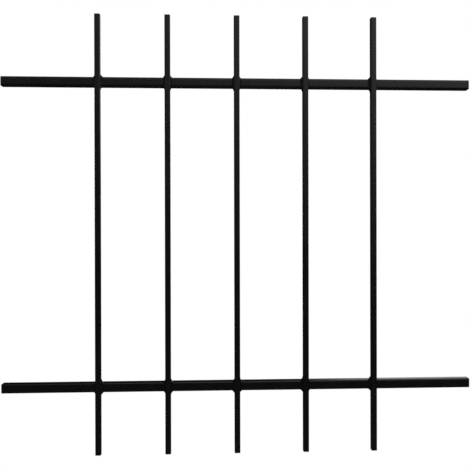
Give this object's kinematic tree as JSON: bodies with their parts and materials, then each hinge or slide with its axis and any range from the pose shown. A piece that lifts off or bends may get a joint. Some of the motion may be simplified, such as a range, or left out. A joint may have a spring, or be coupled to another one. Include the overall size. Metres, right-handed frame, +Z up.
{
  "type": "window security grille",
  "caption": "Flat welded window grille: square uprights lie across the front of heavier square rails that run on past them at both sides.",
  "frame": {"origin": "centre of the grille, halfway through its depth", "axes": "+X to the right as seen from the street, +Z up along the uprights, -Y out of the front, where the uprights are; +Y out of the rails' backs"},
  "size_m": [0.998, 0.032, 0.924],
  "materials": {
    "painted_steel": "satin near-black paint on mild steel bar and tube",
    "painted_weld": "the same satin paint over rippled weld metal",
    "cap_plastic": "black moulded polyethylene, lightly textured"
  },
  "bodies": {
    "root": {"top_rail": "painted_steel", "bottom_rail": "painted_steel", "upright_1": "painted_steel", "upright_2": "painted_steel", "upright_3": "painted_steel", "upright_4": "painted_steel", "upright_5": "painted_steel", "weld_top_1": "painted_weld", "weld_top_2": "painted_weld", "weld_top_3": "painted_weld", "weld_top_4": "painted_weld", "weld_top_5": "painted_weld", "weld_bottom_1": "painted_weld", "weld_bottom_2": "painted_weld", "weld_bottom_3": "painted_weld", "weld_bottom_4": "painted_weld", "weld_bottom_5": "painted_weld", "cap_top_left": "cap_plastic", "cap_top_right": "cap_plastic", "cap_bottom_left": "cap_plastic", "cap_bottom_right": "cap_plastic"}
  },
  "joints": []
}
